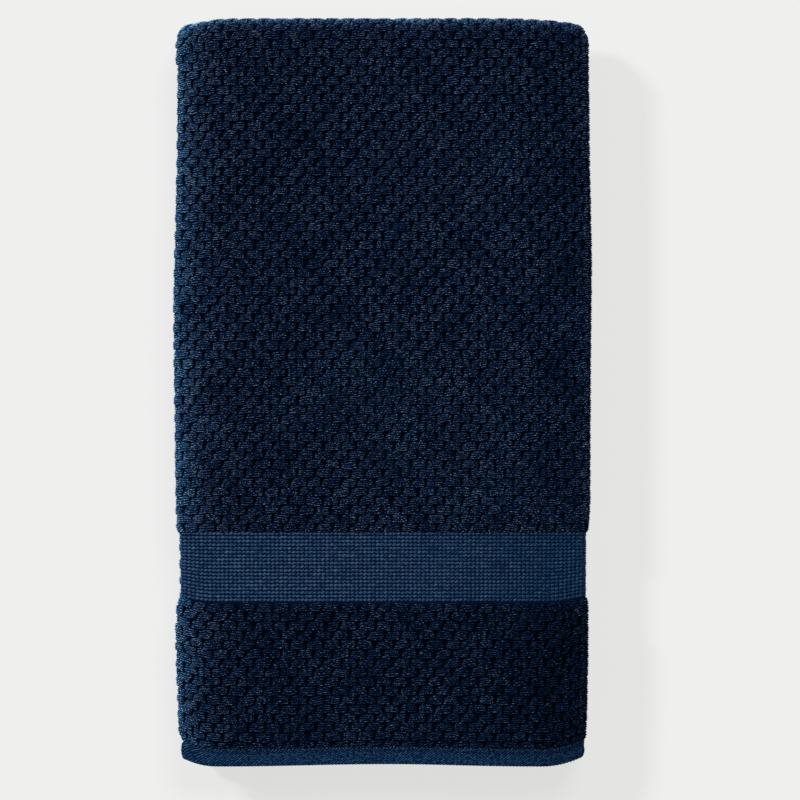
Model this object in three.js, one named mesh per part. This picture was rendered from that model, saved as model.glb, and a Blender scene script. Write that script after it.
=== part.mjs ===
import * as THREE from 'three';

// A bath sheet of terry cloth: one cloth, folded in thirds across its width and then back and
// forth in thirds along its length. Millimetres, +Z up. The top panel's hem lies towards -Y.

// The folded towel
const WIDTH = 300;              // over both side folds, before they bow out
const LENGTH = 546;             // from the hem on top to the fold at the far end
const PILE_THICKNESS = 4.2;
const LAYER_PITCH = 4.8;        // from one layer of a panel to the next
const PANEL_PITCH = 15;         // from one panel of three layers to the next
const END_SHORT = 14;           // the bottom panel stops this far short of the far fold

// The two flaps folded under the visible third: how far each free edge stays inside the far side fold
const LEFT_FLAP_SHORT = 5;
const RIGHT_FLAP_SHORT = 3;
const EDGE_BULGE = 0.35;        // a free edge is rounded out by this share of the thickness

// The cloth's zones, each from its distance to the nearer hem end: thickness of the cloth, pitch of
// the three layers, how far the panel's middle sinks and how far its side folds draw in
const ZONES = [
  { at: 0, thickness: 1.6, pitch: 3.9, sink: 1.1, inset: 4 },
  { at: 0.8, thickness: 2.6, pitch: 3.9, sink: 1.1, inset: 3 },
  { at: 2.4, thickness: 3, pitch: 3.9, sink: 1.1, inset: 2.2 },
  { at: 4.5, thickness: 3, pitch: 3.9, sink: 1.1, inset: 1.9 },
  { at: 8, thickness: 3, pitch: 3.9, sink: 1, inset: 2.4 },
  { at: 9.5, thickness: 3, pitch: 4, sink: 1, inset: 3.3 },
  { at: 11, thickness: 3.9, pitch: 4.3, sink: 0.6, inset: 3 },
  { at: 13, thickness: 4.1, pitch: 4.6, sink: 0.3, inset: 1.4 },
  { at: 15, thickness: 4.2, pitch: 4.8, sink: 0, inset: 0.6 },
  { at: 24, thickness: 4.2, pitch: 4.8, sink: 0, inset: 0.2 },
  { at: 60, thickness: 4.2, pitch: 4.8, sink: 0, inset: 0 },
  { at: 113.5, thickness: 4.2, pitch: 4.8, sink: 0, inset: 0 },
  { at: 118, thickness: 3.7, pitch: 4.3, sink: 0.3, inset: 1.2 },
  { at: 119.5, thickness: 1.8, pitch: 3.5, sink: 0.9, inset: 3.3 },
  { at: 170.5, thickness: 1.8, pitch: 3.5, sink: 0.9, inset: 3.3 },
  { at: 172, thickness: 3.7, pitch: 4.3, sink: 0.3, inset: 1.2 },
  { at: 176.5, thickness: 4.2, pitch: 4.8, sink: 0, inset: 0 },
];

// The ribs of the woven band, raised in the outer face of the cloth
const BAND_START = 119.5;
const BAND_END = 170.5;
const RIB_COUNT = 19;
const RIB_HEIGHT = 0.5;

// How far each side stands out from its straight line, by the distance from the hem
const SIDES = [
  { from_hem: 0, left: -0.6, right: -1.6 },
  { from_hem: 30, left: -0.2, right: -1.4 },
  { from_hem: 63, left: 0.7, right: -0.8 },
  { from_hem: 92, left: 1.4, right: -0.6 },
  { from_hem: 114, left: 0.4, right: -0.6 },
  { from_hem: 176, left: 0.7, right: -0.1 },
  { from_hem: 190, left: 1, right: 0.8 },
  { from_hem: 300, left: 2.7, right: 1.3 },
  { from_hem: 340, left: 2.9, right: 1.7 },
  { from_hem: 370, left: 2.2, right: 2 },
  { from_hem: 440, left: 0.5, right: 0.6 },
  { from_hem: 505, left: -0.2, right: -0.1 },
  { from_hem: 527, left: 1.3, right: -0.3 },
  { from_hem: 546, left: 1, right: -0.4 },
];

// The far fold is a shallow arch: it falls away towards each corner
const ARCH = { left: { drop: 6.8, reach: 46 }, right: { drop: 5.5, reach: 60 } };
const ARCH_FADE = 110;          // the arch dies out over this length of the towel
const CORNER_ROUND = 2;         // the side folds draw in this far where the panels turn over

// Beside the side folds the cloth is drawn up, most at the hem and not at all past the band, and
// the middle of the hem side lies a little further in
const DRAW_UP = { hem: { left: 7.6, right: 8.8 }, band: 5, reach: { left: 27, right: 33 } };
const WANDER = { height: 1.8, across: 230, fade: 70 };

// The panels lie a little askew, and the lower two are drawn in under the top one: sideways shift at
// the hem side and at the far side, and inset at both sides
const PANELS = [
  { name: 'top', shift_hem: 0, shift_far: 0, inset: 0 },
  { name: 'middle', shift_hem: 0.4, shift_far: 0, inset: 2.2 },
  { name: 'bottom', shift_hem: 0.4, shift_far: -1.0, inset: 1.4 },
];

// Soft rises and hollows of the pile: height, wave length across, wave length along, phase
const SWELLS = [
  { height: 0.45, across: 210, along: 330, phase: 0.4 },
  { height: 0.35, across: -120, along: 190, phase: 2.1 },
  { height: 0.25, across: 85, along: -140, phase: 4.0 },
];
const CROWN = 1.4;              // the middle stands this much above the sides

// Steps of the mesh
const TOP_STEPS = 16;
const FLAP_STEPS = 4;
const LEFT_FOLD_STEPS = 4;
const RIGHT_FOLD_STEPS = 6;
const TURN_STEPS = 8;
const PANEL_STEP = 48;

const CLOTH_COLOUR = 0x18304a;
const CLOTH_ROUGHNESS = 0.95;

const PANEL_HALF = LAYER_PITCH + PILE_THICKNESS / 2;
const HEIGHT = 2 * PANEL_PITCH + 2 * PANEL_HALF;
const TURN_RADIUS = PANEL_PITCH / 2;
const HEM_Y = -LENGTH / 2;
const FAR_TURN_Y = LENGTH / 2 - TURN_RADIUS - PANEL_HALF;
const NEAR_TURN_Y = HEM_Y + TURN_RADIUS + PANEL_HALF + 1;
const END_Y = LENGTH / 2 - END_SHORT;
const TOP_RUN = FAR_TURN_Y - HEM_Y;
const MIDDLE_RUN = FAR_TURN_Y - NEAR_TURN_Y;
const BOTTOM_RUN = END_Y - NEAR_TURN_Y;
const TURN_RUN = Math.PI * TURN_RADIUS;
const CLOTH_LENGTH = TOP_RUN + MIDDLE_RUN + BOTTOM_RUN + 2 * TURN_RUN;

const smooth = THREE.MathUtils.smoothstep;
const lerp = THREE.MathUtils.lerp;

// The row of a table at a place between two rows
function between(table, key, place) {
  const last = table.length - 1;
  let i = 0;
  while (i < last - 1 && place > table[i + 1][key]) i += 1;
  const share = THREE.MathUtils.clamp(
    (place - table[i][key]) / (table[i + 1][key] - table[i][key]), 0, 1);
  const row = {};
  for (const name of Object.keys(table[i])) row[name] = lerp(table[i][name], table[i + 1][name], share);
  return row;
}

// The middle line of a panel through the back-and-forth folds: place, face direction and turn angle
function alongCloth(s) {
  let rest = s;
  if (rest <= TOP_RUN) {
    return { y: HEM_Y + rest, z: HEIGHT - PANEL_HALF, ny: 0, nz: 1, turn: 0, panel: 0 };
  }
  rest -= TOP_RUN;
  if (rest <= TURN_RUN) {
    const a = rest / TURN_RADIUS;
    const centre = HEIGHT - PANEL_HALF - TURN_RADIUS;
    return {
      y: FAR_TURN_Y + TURN_RADIUS * Math.sin(a), z: centre + TURN_RADIUS * Math.cos(a),
      ny: Math.sin(a), nz: Math.cos(a), turn: a, panel: a / Math.PI,
    };
  }
  rest -= TURN_RUN;
  if (rest <= MIDDLE_RUN) {
    return { y: FAR_TURN_Y - rest, z: HEIGHT / 2, ny: 0, nz: -1, turn: 0, panel: 1 };
  }
  rest -= MIDDLE_RUN;
  if (rest <= TURN_RUN) {
    const a = rest / TURN_RADIUS;
    const centre = HEIGHT / 2 - TURN_RADIUS;
    return {
      y: NEAR_TURN_Y - TURN_RADIUS * Math.sin(a), z: centre + TURN_RADIUS * Math.cos(a),
      ny: Math.sin(a), nz: -Math.cos(a), turn: a, panel: 1 + a / Math.PI,
    };
  }
  rest -= TURN_RUN;
  return { y: NEAR_TURN_Y + rest, z: PANEL_HALF, ny: 0, nz: 1, turn: 0, panel: 2 };
}

// The middle line of the cloth across a panel, from the left flap's free edge round both side folds
// to the right flap's free edge: `leg` is the stretch of the section and `share` the way along it
function acrossCloth(leg, share, zone) {
  const half = zone.thickness / 2;
  const leftCentre = -WIDTH / 2 + zone.inset + zone.pitch / 2 + half;
  const rightCentre = WIDTH / 2 - zone.inset - zone.pitch - half;
  switch (leg) {
    case 'left flap':
      return { x: lerp(rightCentre - LEFT_FLAP_SHORT, leftCentre, share), n: 0, heading: Math.PI };
    case 'left fold': {
      const a = -Math.PI / 2 + share * Math.PI;
      return {
        x: leftCentre - zone.pitch / 2 * Math.cos(a), n: zone.pitch / 2 * (1 + Math.sin(a)),
        heading: Math.PI * (1 - share),
      };
    }
    case 'top':
      return { x: lerp(leftCentre, rightCentre, share), n: zone.pitch, heading: 0 };
    case 'right fold': {
      const a = Math.PI / 2 - share * Math.PI;
      return {
        x: rightCentre + zone.pitch * Math.cos(a), n: zone.pitch * Math.sin(a),
        heading: -Math.PI * share,
      };
    }
    default:
      return {
        x: lerp(rightCentre, leftCentre + RIGHT_FLAP_SHORT, share), n: -zone.pitch, heading: -Math.PI,
      };
  }
}

const LEGS = [
  { leg: 'left flap', steps: FLAP_STEPS },
  { leg: 'left fold', steps: LEFT_FOLD_STEPS },
  { leg: 'top', steps: TOP_STEPS },
  { leg: 'right fold', steps: RIGHT_FOLD_STEPS },
  { leg: 'right flap', steps: FLAP_STEPS },
];

// The stops across the cloth, one after another, each leg ending where the next begins. On top they
// lie closer towards the side folds, where the cloth is drawn up and falls away.
function stopsAcross() {
  const stops = [{ leg: 'left flap', share: 0 }];
  for (const { leg, steps } of LEGS) {
    for (let i = 1; i <= steps; i += 1) {
      const share = i / steps;
      stops.push({ leg, share: leg === 'top' ? (1 - Math.cos(Math.PI * share)) / 2 : share });
    }
  }
  return stops;
}

// The outline of the cloth across a panel: out along its outer face, back along its inner face,
// with one more point in the middle of each free edge
function outline() {
  const stops = stopsAcross();
  const outer = stops.map((stop) => ({ ...stop, face: 1, bulge: 0 }));
  const inner = stops.map((stop) => ({ ...stop, face: -1, bulge: 0 })).reverse();
  const farEdge = { ...stops[stops.length - 1], face: 0, bulge: 1 };
  const nearEdge = { ...stops[0], face: 0, bulge: -1 };
  return [...outer, farEdge, ...inner, nearEdge];
}

// The stops along the cloth: every row of the zones from both ends, the turns, and the panels between
function stopsAlong() {
  const stops = ZONES.map((zone) => zone.at);
  const starts = [
    { to: TOP_RUN, step: PANEL_STEP },
    { to: TOP_RUN + TURN_RUN, step: TURN_RUN / TURN_STEPS },
    { to: TOP_RUN + TURN_RUN + MIDDLE_RUN, step: 2 * PANEL_STEP },
    { to: TOP_RUN + 2 * TURN_RUN + MIDDLE_RUN, step: TURN_RUN / TURN_STEPS },
    { to: CLOTH_LENGTH - ZONES[ZONES.length - 1].at, step: 2 * PANEL_STEP },
  ];
  for (const { to, step } of starts) {
    const from = stops[stops.length - 1];
    const count = Math.round((to - from) / step);
    for (let i = 1; i <= count; i += 1) stops.push(lerp(from, to, i / count));
  }
  for (const zone of ZONES.slice(0, -1).reverse()) stops.push(CLOTH_LENGTH - zone.at);
  return stops;
}

// How far a place beside a side fold has gone up the slope that is `reach` wide, from 0 to 1
function nearSide(x, reach) {
  const inside = Math.max(0, Math.abs(x) - (WIDTH / 2 - reach)) / reach;
  return Math.min(inside, 1) ** 2;
}

// A size of the panels, going over from one panel's to the next one's through the turn between them
function ofPanel(panel, size) {
  const first = Math.min(Math.floor(panel), PANELS.length - 2);
  return lerp(size(PANELS[first]), size(PANELS[first + 1]), panel - first);
}

// A point of the cloth folded across and then along, on its outer or inner face
function foldedPoint(stop, s, raise) {
  const zone = between(ZONES, 'at', Math.min(s, CLOTH_LENGTH - s));
  const path = alongCloth(s);
  const round = CORNER_ROUND * (1 - Math.abs(Math.cos(path.turn)));
  const inset = zone.inset + round + ofPanel(path.panel, (panel) => panel.inset);
  const cross = acrossCloth(stop.leg, stop.share, { ...zone, inset });
  const lift = stop.face * (zone.thickness / 2 + raise);
  const bulge = stop.bulge * zone.thickness * EDGE_BULGE;
  const x = cross.x - lift * Math.sin(cross.heading) + bulge * Math.cos(cross.heading);
  const n = cross.n + lift * Math.cos(cross.heading) - zone.sink * path.nz;
  return { x, y: path.y + path.ny * n, z: path.z + path.nz * n, panel: path.panel };
}

// Crowned and swelling, more the higher it lies, with a flat underside
function settledHeight({ x, y, z }) {
  let rise = CROWN * (0.5 - (2 * x / WIDTH) ** 4);
  for (const swell of SWELLS) {
    rise += swell.height * Math.sin(2 * Math.PI * (x / swell.across + y / swell.along) + swell.phase);
  }
  return z * (1 + rise / HEIGHT);
}

// Bowed at the sides, with each panel a little askew
function settledSideways({ x, y, panel }) {
  const side = between(SIDES, 'from_hem', y - HEM_Y)[x < 0 ? 'left' : 'right'];
  const way = THREE.MathUtils.clamp((y - HEM_Y) / LENGTH, 0, 1);
  const shift = ofPanel(panel, ({ shift_hem, shift_far }) => lerp(shift_hem, shift_far, way));
  return x * (1 + side / (WIDTH / 2)) + shift;
}

// Arched at the far fold, drawn up beside the side folds at the hem side and, less, in its middle
function settledLengthways({ x, y }) {
  const side = x < 0 ? 'left' : 'right';
  const fromHem = y - HEM_Y;
  const fall = ARCH[side].drop * nearSide(x, ARCH[side].reach) * smooth(fromHem, LENGTH - ARCH_FADE, LENGTH);
  const fromBand = THREE.MathUtils.clamp(1 - fromHem / BAND_START, 0, 1);
  const pull = lerp(DRAW_UP.band, DRAW_UP.hem[side], fromBand) * (1 - smooth(fromHem, BAND_START, BAND_END));
  const wave = Math.abs(x) < WANDER.across / 2 ? 0.5 + 0.5 * Math.cos(2 * Math.PI * x / WANDER.across) : 0;
  const wander = WANDER.height * wave * (1 - smooth(fromHem, 0, WANDER.fade));
  return y - fall + pull * nearSide(x, DRAW_UP.reach[side]) + wander;
}

// A point of the cloth as the folded towel lies
function clothPoint(stop, s, raise = 0) {
  const folded = foldedPoint(stop, s, raise);
  return new THREE.Vector3(settledSideways(folded), settledLengthways(folded), settledHeight(folded));
}

// The closed skin of the cloth: rings of the outline joined along the length, with ribs in the band
// and both hem ends closed
function clothGeometry() {
  const ring = outline();
  const along = stopsAlong();
  const across = stopsAcross().length;
  const count = ring.length;
  const points = along.flatMap((s) => ring.map((stop) => clothPoint(stop, s)));
  const faces = [];
  const quad = (a, b, c, d) => faces.push(a, b, c, a, c, d);

  const ribFrom = FLAP_STEPS;
  const ribTo = FLAP_STEPS + LEFT_FOLD_STEPS + TOP_STEPS + RIGHT_FOLD_STEPS;
  const bandRow = along.findIndex((s) => s >= BAND_START);
  for (let row = 0; row + 1 < along.length; row += 1) {
    for (let i = 0; i < count; i += 1) {
      if (row === bandRow && i >= ribFrom - 1 && i <= ribTo) continue;
      const j = (i + 1) % count;
      quad(row * count + i, row * count + j, (row + 1) * count + j, (row + 1) * count + i);
    }
  }

  // ribs: a crest and a valley each, from the band's start to its end
  const levels = 2 * RIB_COUNT;
  let before = [];
  for (let i = ribFrom; i <= ribTo; i += 1) before.push(bandRow * count + i);
  const nearLine = [before[0]];
  const farLine = [before[before.length - 1]];
  for (let level = 1; level <= levels; level += 1) {
    const line = [];
    for (let i = ribFrom; i <= ribTo; i += 1) {
      if (level === levels) {
        line.push((bandRow + 1) * count + i);
        continue;
      }
      const s = lerp(BAND_START, BAND_END, level / levels);
      const atRim = i === ribFrom || i === ribTo;
      line.push(points.length);
      points.push(clothPoint(ring[i], s, level % 2 && !atRim ? RIB_HEIGHT : 0));
    }
    for (let i = 0; i + 1 < line.length; i += 1) quad(before[i], before[i + 1], line[i + 1], line[i]);
    nearLine.push(line[0]);
    farLine.push(line[line.length - 1]);
    before = line;
  }
  const nearBack = bandRow * count + ribFrom - 1;
  const farBack = bandRow * count + ribTo + 1;
  for (let k = 0; k < levels; k += 1) {
    faces.push(nearBack, nearLine[k], nearLine[k + 1]);
    faces.push(farBack, farLine[k + 1], farLine[k]);
  }
  faces.push(nearBack, nearLine[levels], nearBack + count);
  faces.push(farBack, farBack + count, farLine[levels]);

  // both hem ends, closed from the outer face straight across to the inner one
  const opposite = (i) => 2 * across - i;
  for (const [row, flip] of [[0, true], [along.length - 1, false]]) {
    const corner = (i) => row * count + i;
    const cap = (a, b, c) => (flip ? faces.push(a, c, b) : faces.push(a, b, c));
    for (let i = 0; i + 1 < across; i += 1) {
      cap(corner(i), corner(i + 1), corner(opposite(i + 1)));
      cap(corner(i), corner(opposite(i + 1)), corner(opposite(i)));
    }
    cap(corner(across - 1), corner(across), corner(across + 1));
    cap(corner(opposite(0)), corner(count - 1), corner(0));
  }

  // the origin is the middle of the towel's box, on the surface it lies on
  const geometry = new THREE.BufferGeometry().setFromPoints(points);
  geometry.setIndex(faces);
  geometry.computeBoundingBox();
  const centre = geometry.boundingBox.getCenter(new THREE.Vector3());
  geometry.translate(-centre.x, -centre.y, -geometry.boundingBox.min.z);
  geometry.computeVertexNormals();
  return geometry;
}

const terry = new THREE.MeshStandardMaterial({
  color: CLOTH_COLOUR, roughness: CLOTH_ROUGHNESS, metalness: 0,
});
const cloth = new THREE.Mesh(clothGeometry(), terry);
cloth.name = 'towel_cloth';

const bathSheet = new THREE.Group();
bathSheet.add(cloth);

export default bathSheet;
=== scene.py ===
import math

import bpy
import mathutils
import numpy as np
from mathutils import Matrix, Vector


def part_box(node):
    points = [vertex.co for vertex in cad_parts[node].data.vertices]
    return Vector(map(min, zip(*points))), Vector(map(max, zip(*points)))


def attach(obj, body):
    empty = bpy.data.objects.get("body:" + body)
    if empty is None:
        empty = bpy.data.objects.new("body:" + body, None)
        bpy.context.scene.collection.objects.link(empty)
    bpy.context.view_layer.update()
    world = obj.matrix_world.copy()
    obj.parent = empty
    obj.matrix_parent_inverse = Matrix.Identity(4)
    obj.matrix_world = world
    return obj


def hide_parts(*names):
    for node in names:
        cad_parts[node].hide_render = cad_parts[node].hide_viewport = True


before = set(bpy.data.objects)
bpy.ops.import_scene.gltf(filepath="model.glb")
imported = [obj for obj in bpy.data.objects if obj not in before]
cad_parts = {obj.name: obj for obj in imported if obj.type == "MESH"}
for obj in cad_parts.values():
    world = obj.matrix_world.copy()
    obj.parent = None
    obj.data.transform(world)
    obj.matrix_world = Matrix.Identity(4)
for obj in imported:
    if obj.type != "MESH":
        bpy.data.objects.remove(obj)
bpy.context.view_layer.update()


# How the towel is folded
# One length of terry cloth, folded in thirds across its width with the left flap inside, then back and
# forth in thirds along its length. Every piece below is laid on this fold by its place in the flat cloth.

width = 0.300                 # over both side folds
length = 0.546                # from the top hem to the far fold
panel_pitch = 0.015           # from one panel of three layers to the next
layer_pitch = 0.0048
pile_thickness = 0.0042
end_short = 0.014             # the bottom panel stops short of the far fold
flap_short = (0.005, 0.003)   # the left and right flaps stop short of the side folds

# zones of the cloth by distance from the nearer hem: thickness, layer pitch, sinking and drawing in
zones = np.array([
    (0.0000, 0.0016, 0.0039, 0.0011, 0.0040),
    (0.0008, 0.0026, 0.0039, 0.0011, 0.0030),
    (0.0024, 0.0030, 0.0039, 0.0011, 0.0022),
    (0.0045, 0.0030, 0.0039, 0.0011, 0.0019),
    (0.0080, 0.0030, 0.0039, 0.0010, 0.0024),
    (0.0095, 0.0030, 0.0040, 0.0010, 0.0033),
    (0.0110, 0.0039, 0.0043, 0.0006, 0.0030),
    (0.0130, 0.0041, 0.0046, 0.0003, 0.0014),
    (0.0150, 0.0042, 0.0048, 0.0000, 0.0006),
    (0.0240, 0.0042, 0.0048, 0.0000, 0.0002),
    (0.0600, 0.0042, 0.0048, 0.0000, 0.0000),
    (0.1135, 0.0042, 0.0048, 0.0000, 0.0000),
    (0.1180, 0.0037, 0.0043, 0.0003, 0.0012),
    (0.1195, 0.0018, 0.0035, 0.0009, 0.0033),
    (0.1705, 0.0018, 0.0035, 0.0009, 0.0033),
    (0.1720, 0.0037, 0.0043, 0.0003, 0.0012),
    (0.1765, 0.0042, 0.0048, 0.0000, 0.0000),
])
band_start, band_end = 0.1195, 0.1705
hem_end = 0.0110

# distance from the hem, then how far the left and the right side stand out
sides = np.array([
    (0.000, -0.0006, -0.0016),
    (0.030, -0.0002, -0.0014),
    (0.063, 0.0007, -0.0008),
    (0.092, 0.0014, -0.0006),
    (0.114, 0.0004, -0.0006),
    (0.176, 0.0007, -0.0001),
    (0.190, 0.0010, 0.0008),
    (0.300, 0.0027, 0.0013),
    (0.340, 0.0029, 0.0017),
    (0.370, 0.0022, 0.0020),
    (0.440, 0.0005, 0.0006),
    (0.505, -0.0002, -0.0001),
    (0.527, 0.0013, -0.0003),
    (0.546, 0.0010, -0.0004),
])
# at the left and the right, how far the far fold drops to its corner, and over what width
arch_drop, arch_reach = (0.0068, 0.0055), (0.046, 0.060)
arch_fade = 0.110             # the drop begins this far before the far fold
corner_round = 0.002          # the panels are narrower by this round their turns
# at the left and the right, how far the corners of the hem are drawn up, and over what width
draw_up_hem, draw_up_reach = (0.0076, 0.0088), (0.027, 0.033)
draw_up_band = 0.005          # and how far the ends of the band's near edge are
# at the left fold the hem is stretched toward the pile: how far, over what width, and from where to
# where along the towel this grows and fades out
hem_stretch, hem_stretch_reach = 0.0040, 0.036
hem_stretch_grows, hem_stretch_fades = (0.001, 0.011), (0.015, 0.070)
# the middle of the hem is drawn up by this, over this width, and less and less up to this distance
wander_height, wander_across, wander_fade = 0.0018, 0.230, 0.070
# each panel of three layers: its shift at the hem end, its shift at the far end, its inset
panels = ((0.0, 0.0, 0.0), (0.0004, 0.0, 0.0022), (0.0004, -0.0010, 0.0014))
near_turn_back = 0.001        # the near turn lies this far behind the top hem
# the top isn't level: height, length across, length along and phase of each swell
swells = ((0.00045, 0.210, 0.330, 0.4), (0.00035, -0.120, 0.190, 2.1), (0.00025, 0.085, -0.140, 4.0))
crown = 0.0014                # the middle is higher than the sides by this

panel_half = layer_pitch + pile_thickness / 2
height = 2 * panel_pitch + 2 * panel_half
turn_radius = panel_pitch / 2
hem_y = -length / 2
far_turn_y = length / 2 - turn_radius - panel_half
near_turn_y = hem_y + turn_radius + panel_half + near_turn_back
# along the towel the cloth runs over the top panel, the far turn, the middle panel, the near turn and
# the bottom panel
runs = np.array([
    far_turn_y - hem_y, math.pi * turn_radius, far_turn_y - near_turn_y, math.pi * turn_radius,
    length / 2 - end_short - near_turn_y,
])
run_starts = np.concatenate([[0], np.cumsum(runs)])
cloth_length = run_starts[-1]

# across it, over the inner flap, the left fold, the top, the right fold and the flap under them
side_centres = (-width / 2 + panel_half - layer_pitch / 2, width / 2 - panel_half)
span = side_centres[1] - side_centres[0]
legs = np.array([
    span - flap_short[0], math.pi * layer_pitch / 2, span, math.pi * layer_pitch, span - flap_short[1],
])
leg_starts = np.concatenate([[0], np.cumsum(legs)])
cloth_width = leg_starts[-1]


def smooth(value, low, high):
    """0 up to low and 1 from high on, with a soft climb between."""
    t = np.clip((value - low) / (high - low), 0, 1)
    return t * t * (3 - 2 * t)


def near_side(x, reach):
    """0 in the middle of the towel, growing to 1 over the last reach before its sides."""
    return np.clip((np.abs(x) - (width / 2 - reach)) / reach, 0, 1) ** 2


def on_fold(across, along, lift):
    """Where a place in the flat cloth lies in the folded towel, lifted off the cloth's middle."""
    across, along, lift = np.broadcast_arrays(across, along, lift)
    from_hem = np.minimum(along, cloth_length - along)
    thickness, pitch, sink, inset = (np.interp(from_hem, zones[:, 0], zones[:, k]) for k in range(1, 5))
    t = [np.clip((along - run_starts[k]) / runs[k], 0, 1) for k in range(5)]
    first, second = math.pi * t[1], math.pi * t[3]
    inset = inset + corner_round * (1 - np.abs(np.cos(first) * np.cos(second)))
    inset = inset + panels[0][2] + (panels[1][2] - panels[0][2]) * t[1] + (panels[2][2] - panels[1][2]) * t[3]

    # across the panel, with n the height over its middle
    s = [np.clip((across - leg_starts[k]) / legs[k], 0, 1) for k in range(5)]
    left = -width / 2 + inset + pitch / 2 + thickness / 2
    right = width / 2 - inset - pitch - thickness / 2
    x = right - flap_short[0] + s[0] * (left - right + flap_short[0]) - pitch / 2 * np.sin(math.pi * s[1])
    x = x + s[2] * (right - left) + pitch * np.sin(math.pi * s[3]) + s[4] * (left + flap_short[1] - right)
    n = pitch / 2 * (1 - np.cos(math.pi * s[1])) - pitch * (1 - np.cos(math.pi * s[3]))
    heading = math.pi * (1 - s[1] - s[3])
    over = np.minimum(across, 0) + np.maximum(across - cloth_width, 0)
    x = x - lift * np.sin(heading) + over * np.cos(heading)
    nz = np.cos(first) * np.cos(second)     # 1 where the panel lies face up, -1 where it is turned over
    n = n + lift * np.cos(heading) - sink * nz

    # along the panels
    y = hem_y + t[0] * runs[0] + turn_radius * np.sin(first) - t[2] * runs[2]
    y = y - turn_radius * np.sin(second) + t[4] * runs[4] + np.minimum(along, 0)
    y = y + (np.sin(first) + np.sin(second)) * n
    z = height - panel_half - turn_radius * (2 - np.cos(first) - np.cos(second)) + nz * n

    # settled as it lies
    rise = crown * (0.5 - (2 * x / width) ** 4)
    for high, wave_across, wave_along, phase in swells:
        rise = rise + high * np.sin(2 * math.pi * (x / wave_across + y / wave_along) + phase)
    z = z * (1 + rise / height)
    way = y - hem_y
    out = np.where(x < 0, np.interp(way, sides[:, 0], sides[:, 1]), np.interp(way, sides[:, 0], sides[:, 2]))
    share = np.clip(way / length, 0, 1)
    shifts = [a + (b - a) * share for a, b, _ in panels]
    shift = shifts[0] + (shifts[1] - shifts[0]) * t[1] + (shifts[2] - shifts[1]) * t[3]
    is_left = x < 0
    drop = np.where(is_left, *arch_drop) * near_side(x, np.where(is_left, *arch_reach))
    from_band = np.clip(1 - way / band_start, 0, 1)
    pull = draw_up_band + (np.where(is_left, *draw_up_hem) - draw_up_band) * from_band
    pull = pull * (1 - smooth(way, band_start, band_end)) * near_side(x, np.where(is_left, *draw_up_reach))
    stretch = hem_stretch * smooth(way, *hem_stretch_grows) * (1 - smooth(way, *hem_stretch_fades))
    pull = pull + np.where(is_left, stretch, 0) * near_side(x, hem_stretch_reach)
    wave = np.where(np.abs(x) < wander_across / 2, 0.5 + 0.5 * np.cos(2 * math.pi * x / wander_across), 0)
    wander = wander_height * wave * (1 - smooth(way, 0, wander_fade))
    y = y - drop * smooth(way, length - arch_fade, length) + pull + wander
    return np.stack([x * (1 + out / (width / 2)) + shift - off_middle, y, z], axis=-1)


# the fold is centred where the solid is
off_middle = 0.0
low, high = (np.array(corner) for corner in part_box("towel_cloth"))
everywhere = np.meshgrid(np.linspace(0, cloth_width, 400), np.linspace(0, cloth_length, 400))
face_x = on_fold(*everywhere, pile_thickness / 2)[..., 0]
off_middle = (face_x.min() + face_x.max()) / 2 - (low[0] + high[0]) / 2


# The ground cloth
# The woven ground of the terry, a single sheet that runs through every fold: flat under the pile, ribbed
# in the band, and doubled over and sewn flat at each hem.

# painted shade: the near-black navy of the ground deep under the pile
navy_painted_shade = (0.0002, 0.0020, 0.0120)
navy_flat = (0.0030, 0.0240, 0.0800)
hem_lighter_share, band_lighter_share = 0.8, 0.22      # how much of the lighter navy shows there, the rest is painted shade
pile_height = 0.0026               # the ground lies this far under the top of the pile
pile_edge = 0.002                  # over which the ground rises to a band
rib_count = 19
rib_height = 0.0004
selvedge_bulge = 0.7               # of half the cloth's thickness
inner_share = 0.95                 # of it, down to the inner face, which stays clear of the next layer
map_gap = 0.01                     # between the two faces on the flat map


def steps(stops, sizes):
    """Places from each stop to the next, as evenly as their step size allows."""
    places = [stops[0]]
    for start, stop, size in zip(stops, stops[1:], sizes):
        count = max(1, round((stop - start) / size))
        places += [start + (stop - start) * (i + 1) / count for i in range(count)]
    return np.array(places)


def mesh_object(name, points, faces, material=None, edges=()):
    """A smooth-shaded object of these points and faces, at the origin."""
    mesh = bpy.data.meshes.new(name)
    mesh.from_pydata(np.asarray(points).tolist(), edges, faces)
    if material:
        mesh.materials.append(material)
    mesh.polygons.foreach_set("use_smooth", [True] * len(mesh.polygons))
    mesh.update()
    piece = bpy.data.objects.new(name, mesh)
    bpy.context.collection.objects.link(piece)
    return piece


def fill_sockets(node, sockets):
    """Gives each named input of a node its value, or the output that it is linked to."""
    for label, value in dict(sockets).items():
        if isinstance(value, bpy.types.NodeSocket):
            node.id_data.links.new(value, node.inputs[label])
        else:
            node.inputs[label].default_value = value


def add_node(tree, kind, sockets=(), **settings):
    """Adds a node with its settings and sockets, and gives its outputs."""
    node = tree.nodes.new(kind)
    for key, value in settings.items():
        setattr(node, key, value)
    fill_sockets(node, sockets)
    return node.outputs


def new_material(name):
    """A material with one plain shader, and that shader."""
    material = bpy.data.materials.new(name)
    material.use_nodes = True
    material.node_tree.nodes.clear()
    shader = material.node_tree.nodes.new("ShaderNodeBsdfPrincipled")
    add_node(material.node_tree, "ShaderNodeOutputMaterial", {"Surface": shader.outputs["BSDF"]})
    return material, shader


# the ground is painted shade under the pile, mostly so between the ribs of the band, and mostly lighter navy
# in the hem
ground_material, ground_shader = new_material("ground_weave")
lighter_share_input = add_node(ground_material.node_tree, "ShaderNodeAttribute", attribute_name="flat_dye")
ground_colour = add_node(
    ground_material.node_tree, "ShaderNodeMix",
    {"Factor": lighter_share_input["Fac"], "A": (*navy_painted_shade, 1), "B": (*navy_flat, 1)}, data_type="RGBA",
)
fill_sockets(ground_shader, {
    "Base Color": ground_colour["Result"], "Roughness": 0.95, "Specular IOR Level": 0.03,
})

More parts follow.
